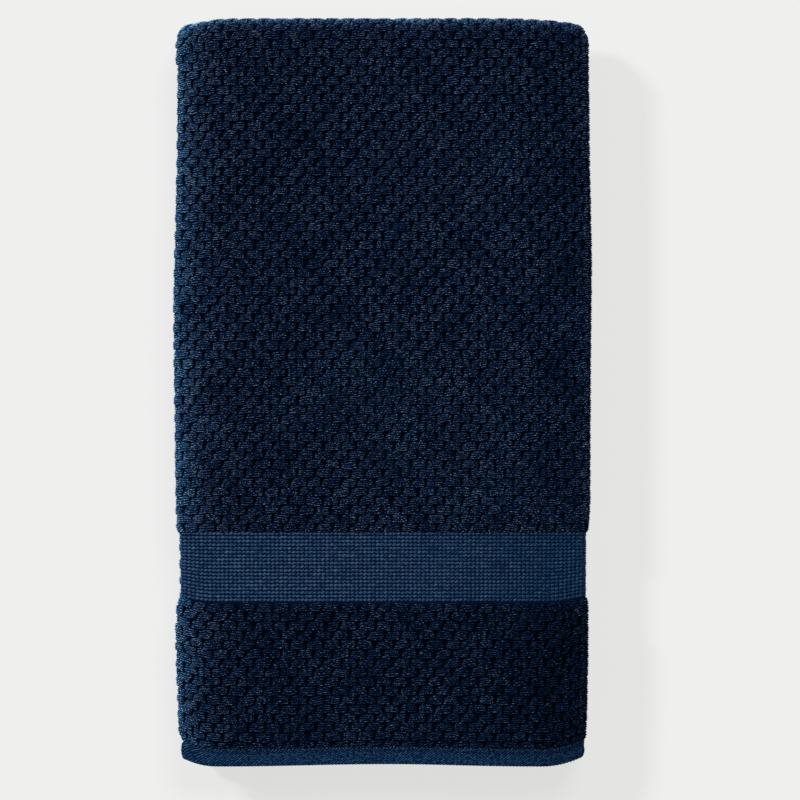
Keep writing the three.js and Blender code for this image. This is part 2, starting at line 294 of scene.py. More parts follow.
# the cloth is cut into small steps where it turns or changes, and long ones elsewhere
beside_fold = 0.036
across_stops = steps(
    [*leg_starts[:3], leg_starts[2] + beside_fold, leg_starts[3] - beside_fold, *leg_starts[3:]],
    (0.020, 0.0015, 0.003, 0.012, 0.003, 0.0022, 0.020),
)
hem_stops = [0, 0.0004, 0.0008, 0.0016, 0.0024, hem_end - 0.0015, hem_end, 0.015, 0.040, 0.080, 0.1135, 0.118]
rib_stops = np.linspace(band_start, band_end, rib_count * 2 + 1)
last_zone = zones[-1, 0]
zone_stops = np.concatenate([hem_stops, rib_stops, [0.172, last_zone]])
middle_stops = steps(
    [last_zone, *run_starts[1:5], cloth_length - last_zone],
    (0.012, 0.0024, 0.020, 0.0024, 0.020),
)
along_stops = np.concatenate([zone_stops[:-1], middle_stops, (cloth_length - zone_stops)[::-1][1:]])
from_hem = np.minimum(along_stops, cloth_length - along_stops)
half_thickness = np.interp(from_hem, zones[:, 0], zones[:, 1]) / 2
into_band = smooth(from_hem, band_start - pile_edge, band_start)
out_of_band = smooth(from_hem, band_end, band_end + pile_edge)
in_pile = smooth(from_hem, hem_end - 0.0005, hem_end + 0.0015) * (1 - into_band + out_of_band)
rib_wave = 0.5 - 0.5 * np.cos(2 * math.pi * rib_count * (from_hem - band_start) / (band_end - band_start))
ribs = np.where((from_hem >= band_start) & (from_hem <= band_end), rib_height * rib_wave, 0)
outer_lift = (half_thickness + ribs - in_pile * pile_height)[:, None]

count = len(across_stops)
outer = on_fold(across_stops[None, :], along_stops[:, None], outer_lift)
inner = on_fold(across_stops[None, ::-1], along_stops[:, None], -half_thickness[:, None] * inner_share)
bulge = half_thickness * selvedge_bulge
far_edge = on_fold(cloth_width + bulge[:, None], along_stops[:, None], 0)
near_edge = on_fold(-bulge[:, None], along_stops[:, None], 0)
rings = np.concatenate([outer, far_edge, inner, near_edge], axis=1)
ring = rings.shape[1]
rows = len(along_stops)
faces = []
for row in range(rows - 1):
    base = row * ring
    for i in range(ring):
        j = (i + 1) % ring
        faces.append((base + i, base + j, base + ring + j, base + ring + i))
for base, turned in ((0, True), ((rows - 1) * ring, False)):
    caps = [(i, i + 1, 2 * count - i - 1, 2 * count - i) for i in range(count - 1)]
    caps += [(count - 1, count, count + 1), (2 * count, 2 * count + 1, 0)]
    faces += [tuple(base + k for k in (face[::-1] if turned else face)) for face in caps]
ground = mesh_object("ground_cloth", rings.reshape(-1, 3), faces, ground_material)


def lay_flat_map(piece, u, v):
    """Gives a piece its flat map for baking, from a place for each of its points."""
    corner_point = np.zeros(len(piece.data.loops), dtype=np.int32)
    piece.data.loops.foreach_get("vertex_index", corner_point)
    places = np.stack([u, v], axis=-1).reshape(-1, 2)
    piece.data.uv_layers.new(name="OFBake").data.foreach_set("uv", places[corner_point].ravel())


def give_values(mesh, **values):
    """Gives each point of a mesh a value under each name."""
    for label, value in values.items():
        mesh.attributes.new(label, "FLOAT", "POINT").data.foreach_set("value", np.ravel(value))


# the outer face lies beside the inner one on the map
map_width = cloth_width + map_gap
edge = map_gap / 5
ring_across = np.concatenate([across_stops, [cloth_width + edge], across_stops[::-1] + map_width, [-edge]])
map_across, map_along = np.meshgrid(ring_across / map_width / 2, along_stops / cloth_length)
lay_flat_map(ground, map_across, map_along)
in_hem = 1 - smooth(from_hem, hem_end, hem_end + 0.0015)
in_band = 1 - in_pile - in_hem
give_values(ground.data, flat_dye=np.repeat(hem_lighter_share * in_hem + band_lighter_share * in_band, ring))

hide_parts("towel_cloth")
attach(ground, "root")


# The pile
# Cotton loops that stand on the ground cloth in rows, four rows to a raised grain, with the grains laid
# like bricks. Each loop is a short bent length of yarn; its two ends go down into the ground.

grain_across, grain_along = 0.01250, 0.00667
grain_fill = 0.93                  # share of its length that a grain's loops take up
grain_slant = 0.0005               # the far side of a grain lies this far to the right of its middle
gap_scatter = 0.0005               # a gap between two grains is out of place, aslant and bent by about this
left_squeeze, left_squeeze_reach = 0.0045, 0.014   # the grains beside the left fold are narrower
loop_length, loop_thickness, loop_depth = 0.0037, 0.00106, 0.0009
loop_rise = 0.00075                # out of the close bed that the feet of the loops make
fan_out = (0.0016, 0.0010, 0.0012)  # loops stand out by this at the left and right folds and the turns
navy_loop = (0.0102, 0.0384, 0.1165)
# the grey that fading and painted highlights mix the loops toward
faded_and_glint_loop = (0.1000, 0.1180, 0.1440)
painted_shade_navy = (0.0040, 0.0300, 0.1250)   # painted shade: the darker, bluer navy of the feet of the loops
chance = np.random.default_rng(7)


def yarn_length(name, length, thickness, stations, round_sides):
    """One short yarn along X: each station has its share of the half length, its depth and its girth.

    Each point also has its spot in the yarn's cell of the flat map.
    """
    points, rings, spots = [], [], []
    for share, depth, girth in stations:
        angles = [math.pi / 2 + 2 * math.pi * k / round_sides for k in range(round_sides if girth else 1)]
        rings.append([len(points) + k for k in range(len(angles))])
        for angle in angles:
            y, z = thickness / 2 * girth * math.cos(angle), thickness / 2 * girth * math.sin(angle)
            points.append((share * length / 2, y, z - depth))
            spots.append((share * 0.35, (y + 0.37 * z - 0.2 * depth) / thickness * 0.3))
    faces = []
    for near, far in zip(rings, rings[1:]):
        for k in range(round_sides):
            m = (k + 1) % round_sides
            corners = [near[k % len(near)], near[m % len(near)], far[m % len(far)], far[k % len(far)]]
            faces.append(tuple(dict.fromkeys(corners)))
    yarn = mesh_object(name, points, faces)
    spot = yarn.data.attributes.new("spot", "FLOAT_VECTOR", "POINT")
    spot.data.foreach_set("vector", np.array([(*place, 0) for place in spots]).ravel())
    return yarn


def new_tree(name, kind, inputs, outputs):
    """A node tree with named inputs and outputs, what it is given, and the node that takes its result."""
    tree = bpy.data.node_groups.new(name, kind)
    for in_out, sockets in (("INPUT", inputs), ("OUTPUT", outputs)):
        for label, socket_kind in sockets.items():
            tree.interface.new_socket(label, in_out=in_out, socket_type="NodeSocket" + socket_kind)
    return tree, tree.nodes.new("NodeGroupInput").outputs, tree.nodes.new("NodeGroupOutput")


def yarn_layer():
    """A tree that lays a yarn on every point, standing up and running as the point says."""
    tree, given, result = new_tree(
        "yarn_layer", "GeometryNodeTree",
        {"Geometry": "Geometry", "Yarn": "Object", "Map Size": "Float", "Material": "Material"},
        {"Geometry": "Geometry"},
    )

    def of_point(label):
        outputs = add_node(
            tree, "GeometryNodeInputNamedAttribute", {"Name": label}, data_type="FLOAT_VECTOR")
        return outputs["Attribute"]

    yarn = add_node(tree, "GeometryNodeObjectInfo", {"Object": given["Yarn"]})
    stood = add_node(
        tree, "FunctionNodeAxesToRotation",
        {"Primary Axis": of_point("stand"), "Secondary Axis": of_point("run")},
        primary_axis="Z", secondary_axis="X",
    )
    laid = add_node(tree, "GeometryNodeInstanceOnPoints", {
        "Points": given["Geometry"], "Instance": yarn["Geometry"], "Rotation": stood[0],
        "Scale": of_point("stretch"),
    })
    real = add_node(tree, "GeometryNodeRealizeInstances", {"Geometry": laid[0]})
    spot = add_node(
        tree, "ShaderNodeVectorMath", {0: of_point("spot"), "Scale": given["Map Size"]}, operation="SCALE")
    on_map = add_node(tree, "ShaderNodeVectorMath", {0: spot[0], 1: of_point("cell")}, operation="ADD")
    mapped = add_node(
        tree, "GeometryNodeStoreNamedAttribute",
        {"Geometry": real[0], "Name": "OFBake", "Value": on_map[0]}, data_type="FLOAT2", domain="CORNER",
    )
    soft = add_node(tree, "GeometryNodeSetShadeSmooth", {"Geometry": mapped[0]})
    done = add_node(tree, "GeometryNodeSetMaterial", {"Geometry": soft[0], "Material": given["Material"]})
    fill_sockets(result, {"Geometry": done[0]})
    return tree


yarn_tree = yarn_layer()


def grown_piece(name, base, tree, given):
    """What a tree grows on an object, kept as one plain mesh of the towel."""
    modifier = base.modifiers.new(tree.name, "NODES")
    modifier.node_group = tree
    for item in tree.interface.items_tree:
        if item.in_out == "INPUT" and item.name in given:
            modifier[item.identifier] = given[item.name]
    evaluated = base.evaluated_get(bpy.context.evaluated_depsgraph_get())
    grown = bpy.data.meshes.new_from_object(evaluated)
    base.modifiers.remove(modifier)
    bpy.data.objects.remove(base)

    # what the towel lies on presses its yarns flat
    places = np.zeros(3 * len(grown.vertices))
    grown.vertices.foreach_get("co", places)
    places[2::3] = np.maximum(places[2::3], 0)
    grown.vertices.foreach_set("co", places)
    piece = bpy.data.objects.new(name, grown)
    bpy.context.collection.objects.link(piece)
    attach(piece, "root")
    return piece


def directions(across, along, lift):
    """A place on the folded cloth, with the ways up from it, across it and along it."""
    d = 0.0004
    here = on_fold(across, along, lift)
    up = on_fold(across, along, lift + d) - here
    right = on_fold(across + d, along, lift) - here
    far = on_fold(across, along + d, lift) - here
    up, right, far = (v / np.linalg.norm(v, axis=-1, keepdims=True) for v in (up, right, far))
    return here, up, right, far


def lay_yarn(name, yarn, places, stands, runs_to, stretches, tones, fades, material):
    """Lays a yarn on every point, each with its own cell of the flat map."""
    side = math.ceil(math.sqrt(len(places)))
    order = np.arange(len(places))
    cells = np.stack([order % side + 0.5, order // side + 0.5, np.zeros(len(places))], axis=-1) / side
    points = mesh_object(name + "_points", places, [])
    for label, values in (("stand", stands), ("run", runs_to), ("stretch", stretches), ("cell", cells)):
        attribute = points.data.attributes.new(label, "FLOAT_VECTOR", "POINT")
        attribute.data.foreach_set("vector", values.ravel())
    give_values(points.data, tone=tones, fade=fades)
    given = {"Yarn": yarn, "Map Size": 1 / side, "Material": material}
    piece = grown_piece(name, points, yarn_tree, given)
    for label in ("stand", "run", "stretch", "cell", "spot"):
        piece.data.attributes.remove(piece.data.attributes[label])
    return piece


fibre_length = (0.4, 1.0, 1.0)     # the pattern of the fibres is drawn out along the rows of loops
fibre_range = (0.36, 0.64)         # most of the noise that makes it lies between these
fibre_glint_grey = 0.40                  # painted highlight: the lighter fibres are mixed greyer
# painted sheen: the lightest lengths are tinted by this, more so from the first of these tones to the second
painted_sheen_tint = (0.84, 1.12, 0.93)
painted_sheen_tones = (1.2, 3.0)
fuzz, fuzz_tint = 0.04, (0.30, 0.75, 1.0)


def dyed_yarn():
    """The colour of dyed cotton yarn: each length lighter or darker, some greyed by fading, with fibres
    along it.

    The lighter fibres and lengths are also mixed greyer, a painted highlight. The lightest lengths,
    which the painted light of a fold makes lightest, are tinted more green, a painted sheen.
    """
    tree, given, result = new_tree(
        "dyed_yarn", "ShaderNodeTree",
        {"Dye": "Color", "Faded And Glint": "Color", "Fibre Size": "Float", "Fibre Contrast": "Float",
         "Fibre Height": "Float"},
        {"Colour": "Color", "Normal": "Vector"},
    )

    def worked_out(operation, *values, clamped=False):
        sockets = dict(enumerate(values))
        return add_node(tree, "ShaderNodeMath", sockets, operation=operation, use_clamp=clamped)[0]

    tone = add_node(tree, "ShaderNodeAttribute", attribute_name="tone")["Fac"]
    fade = add_node(tree, "ShaderNodeAttribute", attribute_name="fade")["Fac"]
    place = add_node(tree, "ShaderNodeTexCoord")["Object"]
    drawn_out = add_node(tree, "ShaderNodeVectorMath", {0: place, 1: fibre_length}, operation="MULTIPLY")
    fibres = add_node(tree, "ShaderNodeTexNoise", {
        "Vector": drawn_out[0], "Scale": worked_out("DIVIDE", 1.0, given["Fibre Size"]), "Detail": 2,
    })["Fac"]
    spread = add_node(tree, "ShaderNodeMapRange", {
        "Value": fibres, "From Min": fibre_range[0], "From Max": fibre_range[1], "To Min": -1.0,
    })["Result"]
    swing = worked_out("MULTIPLY", spread, given["Fibre Contrast"])
    shade = worked_out("MULTIPLY_ADD", swing, worked_out("MINIMUM", tone, 1.0), tone)
    greyed = worked_out("MULTIPLY_ADD", swing, fibre_glint_grey, fade, clamped=True)
    mixed = add_node(
        tree, "ShaderNodeMix", {"Factor": greyed, "A": given["Dye"], "B": given["Faded And Glint"]}, data_type="RGBA")
    dyed = add_node(tree, "ShaderNodeVectorMath", {0: mixed["Result"], "Scale": shade}, operation="SCALE")
    painted_sheen_share = add_node(tree, "ShaderNodeMapRange", {
        "Value": tone, "From Min": painted_sheen_tones[0], "From Max": painted_sheen_tones[1],
    })
    sheened_colour = add_node(
        tree, "ShaderNodeMix", {"Factor": painted_sheen_share["Result"], "A": dyed[0], "B": (*painted_sheen_tint, 1)},
        data_type="RGBA", blend_type="MULTIPLY",
    )
    bump = add_node(tree, "ShaderNodeBump", {"Distance": given["Fibre Height"], "Height": fibres})
    fill_sockets(result, {"Colour": sheened_colour["Result"], "Normal": bump["Normal"]})
    return tree


yarn_finish = dyed_yarn()


def yarn_material(name, dye, faded_and_glint, fibre_size, fibre_contrast):
    """Matt cotton yarn with a little fuzz."""
    material, shader = new_material(name)
    finish = add_node(material.node_tree, "ShaderNodeGroup", {
        "Dye": (*dye, 1), "Faded And Glint": (*faded_and_glint, 1), "Fibre Size": fibre_size, "Fibre Contrast": fibre_contrast,
        "Fibre Height": fibre_size / 5,
    }, node_tree=yarn_finish)
    fill_sockets(shader, {
        "Base Color": finish["Colour"], "Normal": finish["Normal"], "Roughness": 1.0,
        "Specular IOR Level": 0.0, "Sheen Weight": fuzz, "Sheen Roughness": 0.5,
        "Sheen Tint": (*fuzz_tint, 1),
    })
    return material


pile_material = yarn_material("pile_yarn", navy_loop, faded_and_glint_loop, fibre_size=0.0008, fibre_contrast=1.05)
bed_material = yarn_material("pile_feet_painted_shade", painted_shade_navy, navy_loop, fibre_size=0.0009, fibre_contrast=0.5)
pile_yarn = yarn_length(
    "pile_yarn", loop_length, loop_thickness,
    ((-1, loop_depth, 0), (0, 0, 1), (1, loop_depth, 0)), 3,
)


# painted light: the top is lighter beside the left fold, by this and over about this width
painted_fold_light, painted_fold_light_reach = 2.2, 0.0085
# and painted light and shade across the top: by how much, from which share of its width and to which
side_changes = ((-0.08, 0.1, 0.2), (0.07, 0.25, 0.5), (-0.20, 0.8, 0.95))
hem_side_changes = ((-0.22, 0, 0.15), (-0.22, 0.66, 0.96))    # painted shade, between the hem and the band
# lighter and darker in soft patches: length across, length along and phase of each wave
patches = ((0.061, 0.083, 0.3), (-0.048, 0.057, 1.9), (0.110, -0.071, 4.4), (0.029, 0.041, 2.7))
patch_contrast = 0.045
painted_sheen = 3.3                        # painted sheen: loops on a fold are lighter by this
painted_sheen_right, painted_sheen_turns = 0.5, 0.5    # but less on the right side, in painted shade, and at the turns
most_spread, lightest_painted_light = 0.5, 4.5   # and no more than this


def painted_top_light(across, along):
    """Painted light and shade: lighter beside the left fold, darker to the right and between hem and band."""
    beside = painted_fold_light * np.exp(-np.maximum(across - leg_starts[2], 0) / painted_fold_light_reach)
    over = (across - leg_starts[2]) / legs[2]
    side, hem_side = (
        sum(change * smooth(over, start, end) for change, start, end in changes)
        for changes in (side_changes, hem_side_changes)
    )
    patch = sum(np.sin(2 * math.pi * (across / w + along / h) + phase) for w, h, phase in patches)
    at_hem = 1 - smooth(along, band_start - 0.01, band_end + 0.01)
    return (1 + beside) * (1 + side) * (1 + patch_contrast * patch) * (1 + at_hem * hem_side)


def painted_sheen_tone(up):
    """Painted sheen, lighter where the loops face sideways on a fold, and less so on the right, in painted
    shade.
    """
    sideways = up[..., 0] * np.where(up[..., 0] > 0, painted_sheen_right, 1.0)
    spread = 1 - np.sqrt(1 - sideways ** 2) + painted_sheen_turns * up[..., 1] ** 4
    return 1 + painted_sheen * np.minimum(spread, most_spread)


def painted_light_tone(across, along, up):
    """How much painted light and shade lighten or darken a place, from the way that the loops stand up there.
    """
    return np.minimum(painted_top_light(across, along) * painted_sheen_tone(up), lightest_painted_light)


def fanned(across, along):
    """How much further the loops stand out where a fold spreads them."""
    turns = ((across, leg_starts, legs, 1), (across, leg_starts, legs, 3),
             (along, run_starts, runs, 1), (along, run_starts, runs, 3))
    shares = [
        np.sin(math.pi * np.clip((place - starts[k]) / sizes[k], 0, 1)) for place, starts, sizes, k in turns]
    return np.sqrt(sum((high * share) ** 2 for high, share in zip((*fan_out, fan_out[2]), shares)))


# the pile lies on the outside of every fold, where the cloth is spread
fold_spread = 1 + pile_thickness / 2 / np.array([layer_pitch / 2, layer_pitch])
outer_across = np.concatenate([[0], np.cumsum(legs * (1, fold_spread[0], 1, fold_spread[1], 1))])
turn_spread = 1 + panel_half / turn_radius
outer_along = np.concatenate([[0], np.cumsum(runs * (1, turn_spread, 1, turn_spread, 1))])
weave_changes = np.array([hem_end, band_start, band_end])
weave_changes = np.interp([*weave_changes, *(cloth_length - weave_changes)[::-1]], run_starts, outer_along)


def waves(x, y, forms):
    """A sum of waves, each with its height, its turns along x and y in radians, and its phase."""
    return sum(high * np.sin(turn_x * x + turn_y * y + phase) for high, turn_x, turn_y, phase in forms)


# whole rows of grains between the hems and the bands
grain_middles, grain_halves = [], []
for start, end in weave_changes.reshape(3, 2):
    count = round((end - start) / grain_along)
    grain_middles += [start + (end - start) * (i + 0.5) / count for i in range(count)]
    grain_halves += [(end - start) / count / 2] * count
grain_middles, grain_halves = np.array(grain_middles), np.array(grain_halves)
grain_grid = (len(grain_middles), math.ceil(outer_across[-1] / grain_across) + 3)

# each grain is a little lighter or darker, more or less faded, higher or lower, and flatter or rounder
grain_tones = chance.lognormal(0, 0.07, grain_grid)
grain_fades = chance.normal(0, 0.04, grain_grid)
grain_rises = chance.normal(0, 0.00007, grain_grid)
grain_row, grain_column = np.indices(grain_grid)
deeper = waves(grain_row, grain_column, ((0.11, 0.19, 0.33, 0.0), (0.11, 0.31, -0.21, 2.0)))
grain_depths = 0.94 + deeper + chance.normal(0, 0.12, grain_grid)
gap_forms = chance.normal(0, gap_scatter, (3, grain_grid[0], grain_grid[1] + 1))

# the gaps are shallower by this for a while past the band, and toward the right fold
shallower = 0.20
past_band = grain_middles[:, None] - weave_changes[2]
near_band = (past_band > 0) * (1 - smooth(past_band, 0.10, 0.18))
rightward = smooth(grain_column * grain_across, outer_across[3] - 0.12, outer_across[3])
grain_depths = grain_depths * (1 - shallower * near_band) * (1 - shallower * rightward)

# how far a grain falls away: rounding toward its ends, at its ends, at its sides and at its far corners
end_round, end_drop, side_drop, corner_drop = 0.0005, 0.0014, 0.0004, 0.0011


def grain_drop(u, v):
    """How far a plump grain falls away from its top: u runs along its length and v across it, -1 to 1.

    Its far corners are the rounder ones, so the gap at its end opens toward the far side.
    """
    far_side = (1 + v) / 2
    end_start = np.where(u > 0, 0.57, 0.78) - 0.08 * far_side
    end = end_round * u ** 2 + end_drop * smooth(np.abs(u), end_start, 1.0)
    return end + side_drop * np.abs(v) ** 3 + corner_drop * (u * far_side) ** 2 * far_side


def on_grid(row, column, u, v):
    """A place on a grain, over the outer face.

    Each gap between the ends of two grains is shifted, slanted and bent a little.
    """
    left_gap, right_gap = gap_forms[:, row, column], gap_forms[:, row, column + 1]
    shift, slant, bend = left_gap * (1 - u) / 2 + right_gap * (1 + u) / 2
    a = (column + 0.5 * (row % 2) + u / 2) * grain_across + shift + (grain_slant + slant) * v + bend * v ** 2
    return a, grain_middles[row] + v * grain_halves[row]


# the weave wanders to the right and toward the far fold by these waves
weave_right = ((0.0005, 150, 94, 1.0), (0.0004, 270, -200, 0.4))
weave_far = ((0.0004, 120, -140, 2.2), (0.0003, 235, 300, 5.0), (0.0003, 410, 160, 0.0))
last_row_back, last_row_bow = 0.0004, 0.0009   # how far the row at a hem is moved and bowed toward it
pile_overhang = 0.002                          # the most that it hangs over the hem


def weave_place(a, b):
    """Moves a place off the even grid of the grains, as the weave wanders a little.

    Grains beside the left fold are narrower. The last row before a hem isn't straight but bowed,
    grain by grain.
    """
    right = waves(a, b, weave_right)
    right = right + left_squeeze * np.exp(-np.maximum(a - outer_across[2], 0) / left_squeeze_reach)
    last_row = 1 - smooth(np.minimum(b, outer_along[-1] - b), hem_end, hem_end + 1.2 * grain_along)
    bow = last_row_back + last_row_bow * np.cos(2 * math.pi * a / grain_across)
    far = waves(a, b, weave_far) * (1 - last_row) - last_row * bow
    a, b = a + right, np.clip(b + far, weave_changes[0] - pile_overhang, weave_changes[-1] + pile_overhang)
    return np.interp(a, outer_across, leg_starts), np.interp(b, outer_along, run_starts)


def grains_within(across_range, along_range):
    """The rows and columns of grains that reach into a stretch of cloth, and its limits on the outer face."""
    left, right = np.interp(across_range, leg_starts, outer_across)
    near, far = np.interp(along_range, run_starts, outer_along)
    rows = np.flatnonzero(np.abs(grain_middles - (near + far) / 2) < (far - near + grain_along) / 2)
    columns = np.arange(max(0, math.floor(left / grain_across) - 1), math.ceil(right / grain_across) + 1)
    return rows, columns, (left, right, near, far)


# painted shade in a gap at a grain's end: how dark midway, more at its far side, and from which drop to which
bed_gap = (0.66, 0.24, 0.0004, 0.0013)
loop_gap = (0.62, 0.20, 0.0006, 0.0016)
# painted shade: the bed is coloured this much darker than the loops
bed_painted_shade = 0.16
widest_step = 0.02                 # lines of the bed that are further apart have a band between them


def gap_shade(drop, v, gap):
    """Painted shade, darker down in a gap, and more so at the far side of a grain."""
    middle, far_side, start, full = gap
    return 1 - (middle + far_side * v) * smooth(drop, start, full)


def pile_bed(name, across_range, along_range, fine=True):
    """The close feet of the loops: a sheet raised into plump grains with deep gaps at their ends, in painted
    shade.
    """
    rows, columns, (left, right, _, _) = grains_within(across_range, along_range)
    part = np.array([0, 0.07, 0.25, 0.43] if fine else [0, 0.12, 0.38])
    stops = (np.arange(2 * columns[0], 2 * columns[-1] + 2)[:, None] / 2 + part).ravel() * grain_across
    stops = np.unique(np.concatenate([[left, right], stops[(stops > left) & (stops < right)]]))
    lines = np.array([-0.98, -0.55, 0.0, 0.55, 0.98] if fine else [-0.97, 0.0, 0.97])
    row, v = (g.reshape(-1, 1) for g in np.meshgrid(rows, lines, indexing="ij"))
    at = stops[None, :] / grain_across - 0.5 * (row % 2)
    column = np.rint(at).astype(int)
    u = 2 * (at - column)
    drop = grain_drop(u, v) * grain_depths[row, column]
    a, b = weave_place(*on_grid(row, column, u, v))
    lift = pile_thickness / 2 - loop_rise - drop + grain_rises[row, column] * (1 - np.abs(u))
    places, up, _, _ = directions(a, b, lift + fanned(a, b))
    across, along = len(stops), len(row)
    faces = []
    line_places = grain_middles[row[:, 0]]
    for line in range(along - 1):
        if line_places[line + 1] - line_places[line] > widest_step:
            continue
        for i in range(line * across, line * across + across - 1):
            faces.append((i, i + 1, across + i + 1, across + i))
    bed = mesh_object(name, places.reshape(-1, 3), faces, bed_material)
    # painted light and shade as on the loops, greyer where it lightens
    painted_light = painted_light_tone(a, b, up)
    tone = bed_painted_shade * grain_tones[row, column] * gap_shade(drop, v, bed_gap) * painted_light
    give_values(bed.data, tone=tone, fade=0.5 * (painted_light - 1))
    lay_flat_map(bed, a / cloth_width, b / cloth_length)
    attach(bed, "root")
    return bed


row_stagger = 0.05                 # of half a grain, to the left and the right by turns
row_tilt, row_bend = 0.07, 0.12    # about how much the rows on a grain are tilted and bent
slope_step = 0.02                  # over which the rounding of a grain is measured
glint_grey_start, glint_grey_gain = 0.46, 0.33  # painted highlight: the lighter a loop is above this, the greyer it is mixed


def pile_piece(name, across_range, along_range, rows_in_grain=4, loops_in_row=6, size=1.0):
    """The loops of the grains in one stretch of cloth, each leaning with the rounding of its grain."""
    rows, columns, (left, right, near, far) = grains_within(across_range, along_range)
    row, column = (g.reshape(-1, 1) for g in np.meshgrid(rows, columns, indexing="ij"))
    place_v, place_u = np.meshgrid(
        (2 * np.arange(rows_in_grain) + 1) / rows_in_grain - 1,
        (2 * np.arange(loops_in_row) + 1) / loops_in_row - 1, indexing="ij",
    )

    # where each loop stands on its grain: out of line by chance, and drawn in at the far corners
    shape = (len(row), place_u.size)
    stagger = np.where(np.arange(rows_in_grain) % 2, row_stagger, -row_stagger).repeat(loops_in_row)
    u = (place_u.ravel() + stagger) * chance.normal(grain_fill, 0.03, row.shape)
    u = u + chance.normal(0, 0.03, shape)
    v = place_v.ravel() + chance.normal(0, 0.05, shape)
    v = v + u * chance.normal(0, row_tilt, row.shape) + (u ** 2 - 0.3) * chance.normal(0, row_bend, row.shape)
    u, v = u * (0.98 - 0.03 * (1 + v)), v * (1 - 0.07 * u ** 2) - 0.07 * (1 + v) * u ** 2
    a, b = on_grid(row, column, u, v)

    # how the grain rounds off there
    d, depth = slope_step, grain_depths[row, column]
    drop = depth * grain_drop(u, v)
    slope_a = depth * (grain_drop(u + d, v) - grain_drop(u - d, v)) / (d * grain_across)
    slope_b = depth * (grain_drop(u, v + d) - grain_drop(u, v - d)) / (2 * d * grain_halves[row])

    # a light loop has darker ones after it along and across the rows
    speck = chance.normal(0, 0.28, (len(row), rows_in_grain, loops_in_row))
    speck = speck - 0.5 * np.roll(speck, 1, axis=2) - 0.3 * np.roll(speck, 1, axis=1)
    tone = grain_tones[row, column] * np.clip(0.99 + speck.reshape(shape), 0.25, 1.65)
    tone = tone * gap_shade(drop, v, loop_gap)
    # greyer as a loop is lighter, a painted highlight, and greyed at random by grain and by loop
    fade = glint_grey_gain * (tone - glint_grey_start) + grain_fades[row, column] + chance.normal(0, 0.08, shape)
    turned = chance.normal(0, 0.20, shape)
    rise = grain_rises[row, column] * (1 - np.abs(u))

    kept = (a > left) & (a < right) & (b > near) & (b < far)
    a, b, drop, slope_a, slope_b, tone, fade, turned, rise = (
        values[kept] for values in (a, b, drop, slope_a, slope_b, tone, fade, turned, rise))
    a, b = weave_place(a, b)
    lift = pile_thickness / 2 - loop_thickness / 2 * size - drop + rise + chance.normal(0, 0.00005, a.shape)
    place, up, right, far = directions(a, b, lift + fanned(a, b))
    place[:, 2] = np.maximum(place[:, 2], 0.6 * loop_thickness * size)
    # painted light and shade from the folds and across the top; less grey where it darkens
    painted_light = painted_light_tone(a, b, up)
    tone = painted_light + (tone - 1) * painted_light ** 0.6
    fade = fade + 0.6 * np.minimum(painted_light - 1, 0)
    stand = up + slope_a[:, None] * right + slope_b[:, None] * far
    run_right, run_far = right - slope_a[:, None] * up, far - slope_b[:, None] * up
    run = run_right * np.cos(turned)[:, None] + run_far * np.sin(turned)[:, None]
    stretch = chance.normal(1, 0.07, (len(a), 3)) * size
    return lay_yarn(name, pile_yarn, place, stand, run, stretch, tone, fade, pile_material)


# the pile of a fold reaches a little way onto the hidden layers beside it
halfway = (band_end + run_starts[1]) / 2
top = (leg_starts[2], leg_starts[3])
left_fold = (leg_starts[1] - 0.0085, leg_starts[2])
right_fold = (leg_starts[3], leg_starts[4] + 0.004)
flap = (right_fold[1], cloth_width)
near_turn = (run_starts[3] - 0.010, run_starts[4] + 0.006)
underside = (near_turn[1], cloth_length)
pile = [
    pile_bed("bed_top", top, (0.0, run_starts[2])),
    pile_bed("bed_left_folds", left_fold, (0.0, cloth_length)),
    pile_bed("bed_right_folds", right_fold, (0.0, cloth_length)),
    pile_bed("bed_near_turn", flap, near_turn),
    pile_bed("bed_underside", flap, underside, fine=False),
    pile_piece("pile_top_hem_side", top, (0.0, halfway)),
    pile_piece("pile_top_far_side", top, (halfway, run_starts[2])),
    pile_piece("pile_left_folds", left_fold, (0.0, cloth_length)),
    pile_piece("pile_right_folds", right_fold, (0.0, cloth_length)),
    pile_piece("pile_near_turn", flap, near_turn),
    pile_piece("pile_underside", flap, underside, rows_in_grain=3, loops_in_row=3, size=1.5),
]
bpy.data.objects.remove(pile_yarn)


# The woven band
# Above each hem the loops stop for a flat band of ribs, where thick yarns float a little aslant over
# the ground in an even grid.

float_pitch, float_length, float_thickness, float_depth = 0.00307, 0.0044, 0.00265, 0.0010
float_lift = 0.00025               # the middle of a float lies this far over the cloth's face
float_flatness = 0.6               # its height against its width
float_past_rib = 0.0006            # it lies this far past the middle of its rib
float_turns = (0.16, 0.46)         # aslant by this at the left side and at the right side, in radians
float_tone, float_painted_shade = 1.15, 0.41    # at the left side, and darker by this at the right side, a painted shade
float_fade, float_fade_midway = 0.14, 0.06  # at the sides, and more by this midway
navy_float = (0.0110, 0.0480, 0.1280)
# the grey that fading and painted highlights mix the floats toward
faded_and_glint_float = (0.0760, 0.1020, 0.1330)
band_material = yarn_material(
    "band_yarn", navy_float, faded_and_glint_float, fibre_size=0.0010, fibre_contrast=0.4)
float_bends = (
    (-1, float_depth, 0), (-0.62, 0.0004, 0.5), (0, 0, 1), (0.62, 0.0004, 0.5), (1, float_depth, 0),
)
band_yarn = yarn_length("band_yarn", float_length, float_thickness, float_bends, 5)
band_yarn_below = yarn_length("band_yarn_below", float_length, float_thickness, float_bends[::2], 4)


